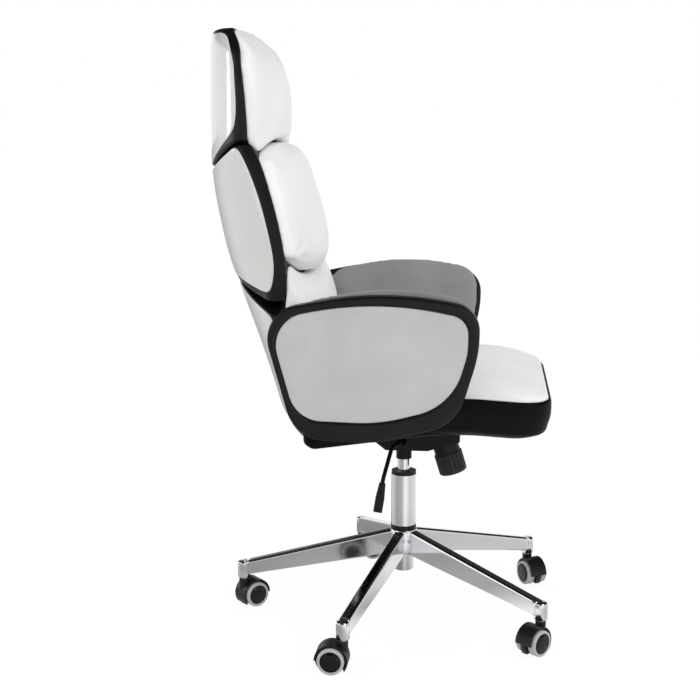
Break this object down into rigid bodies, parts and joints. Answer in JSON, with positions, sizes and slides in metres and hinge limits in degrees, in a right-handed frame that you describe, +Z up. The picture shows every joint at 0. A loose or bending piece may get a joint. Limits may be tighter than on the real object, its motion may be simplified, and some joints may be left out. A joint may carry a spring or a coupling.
{
  "type": "swivel office chair",
  "caption": "High-back swivel office chair with a three-module shell back, closed loop arms, tilting seat, gas lift and a chromed star base on twin-wheel casters.",
  "frame": {"origin": "on the floor, on the axis of the gas lift", "axes": "+Z up along the gas lift; the sitter faces -Y, and +X is at the sitter's left"},
  "size_m": [0.6842, 0.6724, 1.1498],
  "materials": {
    "polished_chrome": "polished",
    "plain_steel": "satin",
    "black_paint": "satin",
    "black_plastic": "satin",
    "white_gloss": "gloss",
    "white_upholstery": "satin",
    "grey_upholstery": "satin",
    "black_upholstery": "satin",
    "plywood": "matte",
    "grey_tyre": "satin"
  },
  "bodies": {
    "base": {"base_star": "polished_chrome", "hub_ring": "black_plastic", "column_tube": "polished_chrome", "guide_bush": "black_plastic", "thrust_bearing": "plain_steel"},
    "rod": {"piston_rod": "polished_chrome", "retaining_clip": "plain_steel"},
    "lift": {"gas_cylinder": "polished_chrome", "mechanism_housing": "black_paint", "spring_cup": "black_plastic", "lever_pin": "plain_steel", "tension_spring": "plain_steel"},
    "valve": {"valve_button": "plain_steel"},
    "lever": {"lift_lever": "black_paint", "lever_grip": "black_plastic"},
    "bolt": {"tension_bolt": "plain_steel"},
    "knob": {"tension_knob": "black_plastic"},
    "seat": {"seat_plate": "black_paint", "tilt_axle": "plain_steel", "seat_board": "plywood", "seat_cover": "black_upholstery", "seat_cushion": "white_upholstery", "seat_bolts": "plain_steel", "arm_bolts": "plain_steel", "arm_frame_left": "black_plastic", "arm_frame_right": "black_plastic", "arm_panel_left": "white_gloss", "arm_panel_right": "white_gloss", "arm_pad_left": "grey_upholstery", "arm_pad_right": "grey_upholstery", "headrest_panel": "white_gloss", "headrest_frame": "black_plastic", "headrest_cushion": "white_upholstery", "middle_panel": "white_gloss", "middle_frame": "black_plastic", "middle_cushion": "white_upholstery", "lumbar_panel": "white_gloss", "lumbar_frame": "black_plastic", "lumbar_cushion": "white_upholstery", "back_spine": "black_paint"},
    "caster_0": {"caster_0_hood": "black_plastic", "caster_0_pins": "plain_steel"},
    "caster_0_wheel_left": {"caster_0_wheel_left": "grey_tyre"},
    "caster_0_wheel_right": {"caster_0_wheel_right": "grey_tyre"},
    "caster_1": {"caster_1_hood": "black_plastic", "caster_1_pins": "plain_steel"},
    "caster_1_wheel_left": {"caster_1_wheel_left": "grey_tyre"},
    "caster_1_wheel_right": {"caster_1_wheel_right": "grey_tyre"},
    "caster_2": {"caster_2_hood": "black_plastic", "caster_2_pins": "plain_steel"},
    "caster_2_wheel_left": {"caster_2_wheel_left": "grey_tyre"},
    "caster_2_wheel_right": {"caster_2_wheel_right": "grey_tyre"},
    "caster_3": {"caster_3_hood": "black_plastic", "caster_3_pins": "plain_steel"},
    "caster_3_wheel_left": {"caster_3_wheel_left": "grey_tyre"},
    "caster_3_wheel_right": {"caster_3_wheel_right": "grey_tyre"},
    "caster_4": {"caster_4_hood": "black_plastic", "caster_4_pins": "plain_steel"},
    "caster_4_wheel_left": {"caster_4_wheel_left": "grey_tyre"},
    "caster_4_wheel_right": {"caster_4_wheel_right": "grey_tyre"}
  },
  "joints": [
    {"name": "seat_swivel", "type": "hinge", "parent": "base", "child": "rod", "pos_m": [0, 0, 0.1], "axis": [0, 0, 1], "continuous": true},
    {"name": "seat_lift", "type": "slide", "parent": "rod", "child": "lift", "axis": [0, 0, 1], "range_m": [0, 0.09]},
    {"name": "lever_lift", "type": "hinge", "parent": "lift", "child": "lever", "pos_m": [-0.045, 0, 0.3706], "axis": [0, 1, 0], "range_deg": [0, 5.4], "stiffness_Nm_per_rad": 3, "springref_deg": -6.88},
    {"name": "valve_press", "type": "slide", "parent": "lift", "child": "valve", "axis": [0, 0, -1], "range_m": [0, 0.0045]},
    {"name": "seat_tilt", "type": "hinge", "parent": "lift", "child": "seat", "pos_m": [0, -0.035, 0.3878], "axis": [-1, 0, 0], "range_deg": [0, 14], "stiffness_Nm_per_rad": 130, "springref_deg": -17.19},
    {"name": "tension_slide", "type": "slide", "parent": "lift", "child": "bolt", "axis": [0, 0.2924, 0.9563], "range_m": [0, 0.0088], "deforming": ["tension_spring"]},
    {"name": "knob_turn", "type": "hinge", "parent": "bolt", "child": "knob", "pos_m": [0, -0.079, 0.36067], "axis": [0, 0.2924, 0.9563], "range_deg": [0, 1080]},
    {"name": "caster_0_swivel", "type": "hinge", "parent": "base", "child": "caster_0", "pos_m": [-0.01138, 0.3258, 0.08], "axis": [0, 0, 1], "continuous": true},
    {"name": "caster_0_roll_left", "type": "hinge", "parent": "caster_0", "child": "caster_0_wheel_left", "pos_m": [0.002, 0.31094, 0.025], "axis": [0.7431, 0.6691, 0], "continuous": true},
    {"name": "caster_0_roll_right", "type": "hinge", "parent": "caster_0", "child": "caster_0_wheel_right", "pos_m": [0.002, 0.31094, 0.025], "axis": [0.7431, 0.6691, 0], "continuous": true},
    {"name": "caster_1_swivel", "type": "hinge", "parent": "base", "child": "caster_1", "pos_m": [-0.31337, 0.08986, 0.08], "axis": [0, 0, 1], "continuous": true},
    {"name": "caster_1_roll_left", "type": "hinge", "parent": "caster_1", "child": "caster_1_wheel_left", "pos_m": [-0.31267, 0.10985, 0.025], "axis": [-0.9994, 0.0349, 0], "continuous": true},
    {"name": "caster_1_roll_right", "type": "hinge", "parent": "caster_1", "child": "caster_1_wheel_right", "pos_m": [-0.31267, 0.10985, 0.025], "axis": [-0.9994, 0.0349, 0], "continuous": true},
    {"name": "caster_2_swivel", "type": "hinge", "parent": "base", "child": "caster_2", "pos_m": [-0.1823, -0.27027, 0.08], "axis": [0, 0, 1], "continuous": true},
    {"name": "caster_2_roll_left", "type": "hinge", "parent": "caster_2", "child": "caster_2_wheel_left", "pos_m": [-0.19716, -0.25688, 0.025], "axis": [-0.6691, -0.7431, 0], "continuous": true},
    {"name": "caster_2_roll_right", "type": "hinge", "parent": "caster_2", "child": "caster_2_wheel_right", "pos_m": [-0.19716, -0.25688, 0.025], "axis": [-0.6691, -0.7431, 0], "continuous": true},
    {"name": "caster_3_swivel", "type": "hinge", "parent": "base", "child": "caster_3", "pos_m": [0.20071, -0.25689, 0.08], "axis": [0, 0, 1], "continuous": true},
    {"name": "caster_3_roll_left", "type": "hinge", "parent": "caster_3", "child": "caster_3_wheel_left", "pos_m": [0.18338, -0.26689, 0.025], "axis": [0.5, -0.866, 0], "continuous": true},
    {"name": "caster_3_roll_right", "type": "hinge", "parent": "caster_3", "child": "caster_3_wheel_right", "pos_m": [0.18338, -0.26689, 0.025], "axis": [0.5, -0.866, 0], "continuous": true},
    {"name": "caster_4_swivel", "type": "hinge", "parent": "base", "child": "caster_4", "pos_m": [0.30634, 0.1115, 0.08], "axis": [0, 0, 1], "continuous": true},
    {"name": "caster_4_roll_left", "type": "hinge", "parent": "caster_4", "child": "caster_4_wheel_left", "pos_m": [0.31634, 0.09418, 0.025], "axis": [0.866, 0.5, 0], "continuous": true},
    {"name": "caster_4_roll_right", "type": "hinge", "parent": "caster_4", "child": "caster_4_wheel_right", "pos_m": [0.31634, 0.09418, 0.025], "axis": [0.866, 0.5, 0], "continuous": true}
  ],
  "couplings": [
    {"joint": "valve_press", "follows": "lever_lift", "m_per_rad": 0.0475},
    {"joint": "tension_slide", "follows": "seat_tilt", "m_per_rad": 0.0345}
  ]
}
